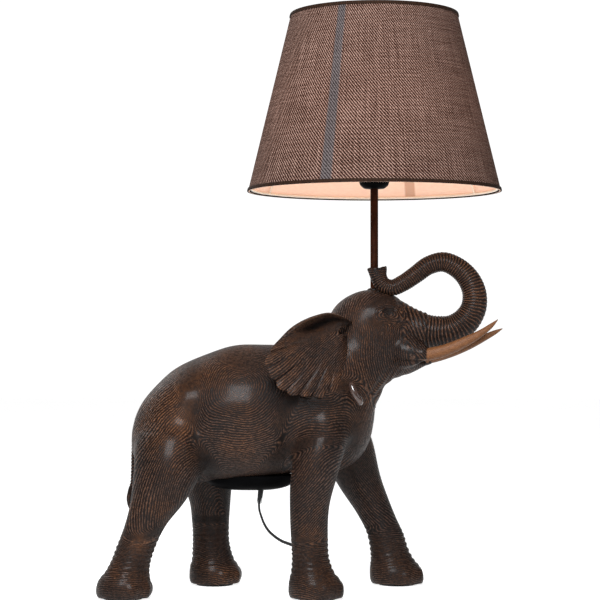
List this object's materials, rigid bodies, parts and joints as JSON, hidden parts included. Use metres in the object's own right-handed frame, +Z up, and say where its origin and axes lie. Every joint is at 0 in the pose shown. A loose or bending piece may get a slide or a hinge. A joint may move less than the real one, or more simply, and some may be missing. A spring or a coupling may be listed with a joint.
{
  "type": "elephant table lamp",
  "caption": "Table lamp on a walking elephant with a raised, curled trunk; a rod on its head carries a tapered fabric shade that lights the table.",
  "frame": {"origin": "on the floor under the middle of the lamp's outline", "axes": "+Z up, +X the way the elephant faces, +Y the elephant's left side"},
  "size_m": [0.5124, 0.337, 0.74],
  "materials": {
    "carved_resin": "satin lacquer over dark brown cast resin carved like wood",
    "tusk_resin": "light tan cast resin with a lengthwise grain",
    "black_plastic": "smooth black moulding",
    "black_flange": "satin black",
    "felt": "pressed black felt",
    "bronze_tube": "brown bronze lacquer",
    "steel": "zinc plated",
    "brass": "plain brass",
    "shade_fabric": "brown twill weave",
    "shade_film": "matt cream lining film",
    "trim_tape": "dark brown folded tape",
    "cream_wire": "cream powder coat",
    "opal_glass": "frosted opal",
    "flex": "smooth black flex",
    "lead": "white insulated lead"
  },
  "bodies": {
    "elephant": {"body_casting": "carved_resin", "head_casting": "carved_resin", "trunk": "carved_resin", "ear_right": "carved_resin", "ear_left": "carved_resin", "tail": "carved_resin", "tusk_right": "tusk_resin", "tusk_left": "tusk_resin", "belly_cover": "black_plastic", "cord_grip": "black_plastic", "holder_cap": "black_plastic", "holder_body": "black_plastic", "switch_lower": "black_plastic", "switch_upper": "black_plastic", "plug_body": "black_plastic", "rod_flange": "black_flange", "foot_pad_1": "felt", "foot_pad_2": "felt", "foot_pad_3": "felt", "foot_pad_4": "felt", "rod": "bronze_tube", "cover_screw_1": "steel", "cover_screw_2": "steel", "cover_screw_3": "steel", "cover_screw_4": "steel", "rod_washer": "steel", "rod_nut": "brass", "holder_thread": "brass", "holder_contact": "brass", "plug_pin_1": "brass", "plug_pin_2": "brass", "cord_drop": "flex", "cord_link": "flex", "cord_tail": "flex", "cord_hank": "flex", "cord_tie": "flex", "inner_lead": "lead"},
    "shade": {"shade_cover": "shade_fabric", "shade_lining": "shade_film", "shade_spider": "cream_wire", "shade_top_ring": "cream_wire", "shade_bottom_trim": "trim_tape", "shade_top_trim": "trim_tape"},
    "clamp_ring": {"shade_clamp_ring": "black_plastic"},
    "bulb": {"bulb_glass": "opal_glass", "bulb_cap": "steel", "bulb_tip": "brass"},
    "rocker": {"switch_rocker": "black_plastic"}
  },
  "joints": [
    {"name": "shade_turn", "type": "hinge", "parent": "elephant", "child": "shade", "pos_m": [0.0953, 0, 0.5424], "axis": [0, 0, 1], "continuous": true},
    {"name": "clamp_ring_screw", "type": "hinge", "parent": "elephant", "child": "clamp_ring", "pos_m": [0.0953, 0, 0.547], "axis": [0, 0, 1], "continuous": true},
    {"name": "bulb_screw", "type": "hinge", "parent": "elephant", "child": "bulb", "pos_m": [0.0953, 0, 0.56], "axis": [0, 0, 1], "continuous": true},
    {"name": "switch_rock", "type": "hinge", "parent": "elephant", "child": "rocker", "pos_m": [0.013, 0.0425, 0.0125], "axis": [1, 0, 0], "range_deg": [-8, 8]}
  ]
}
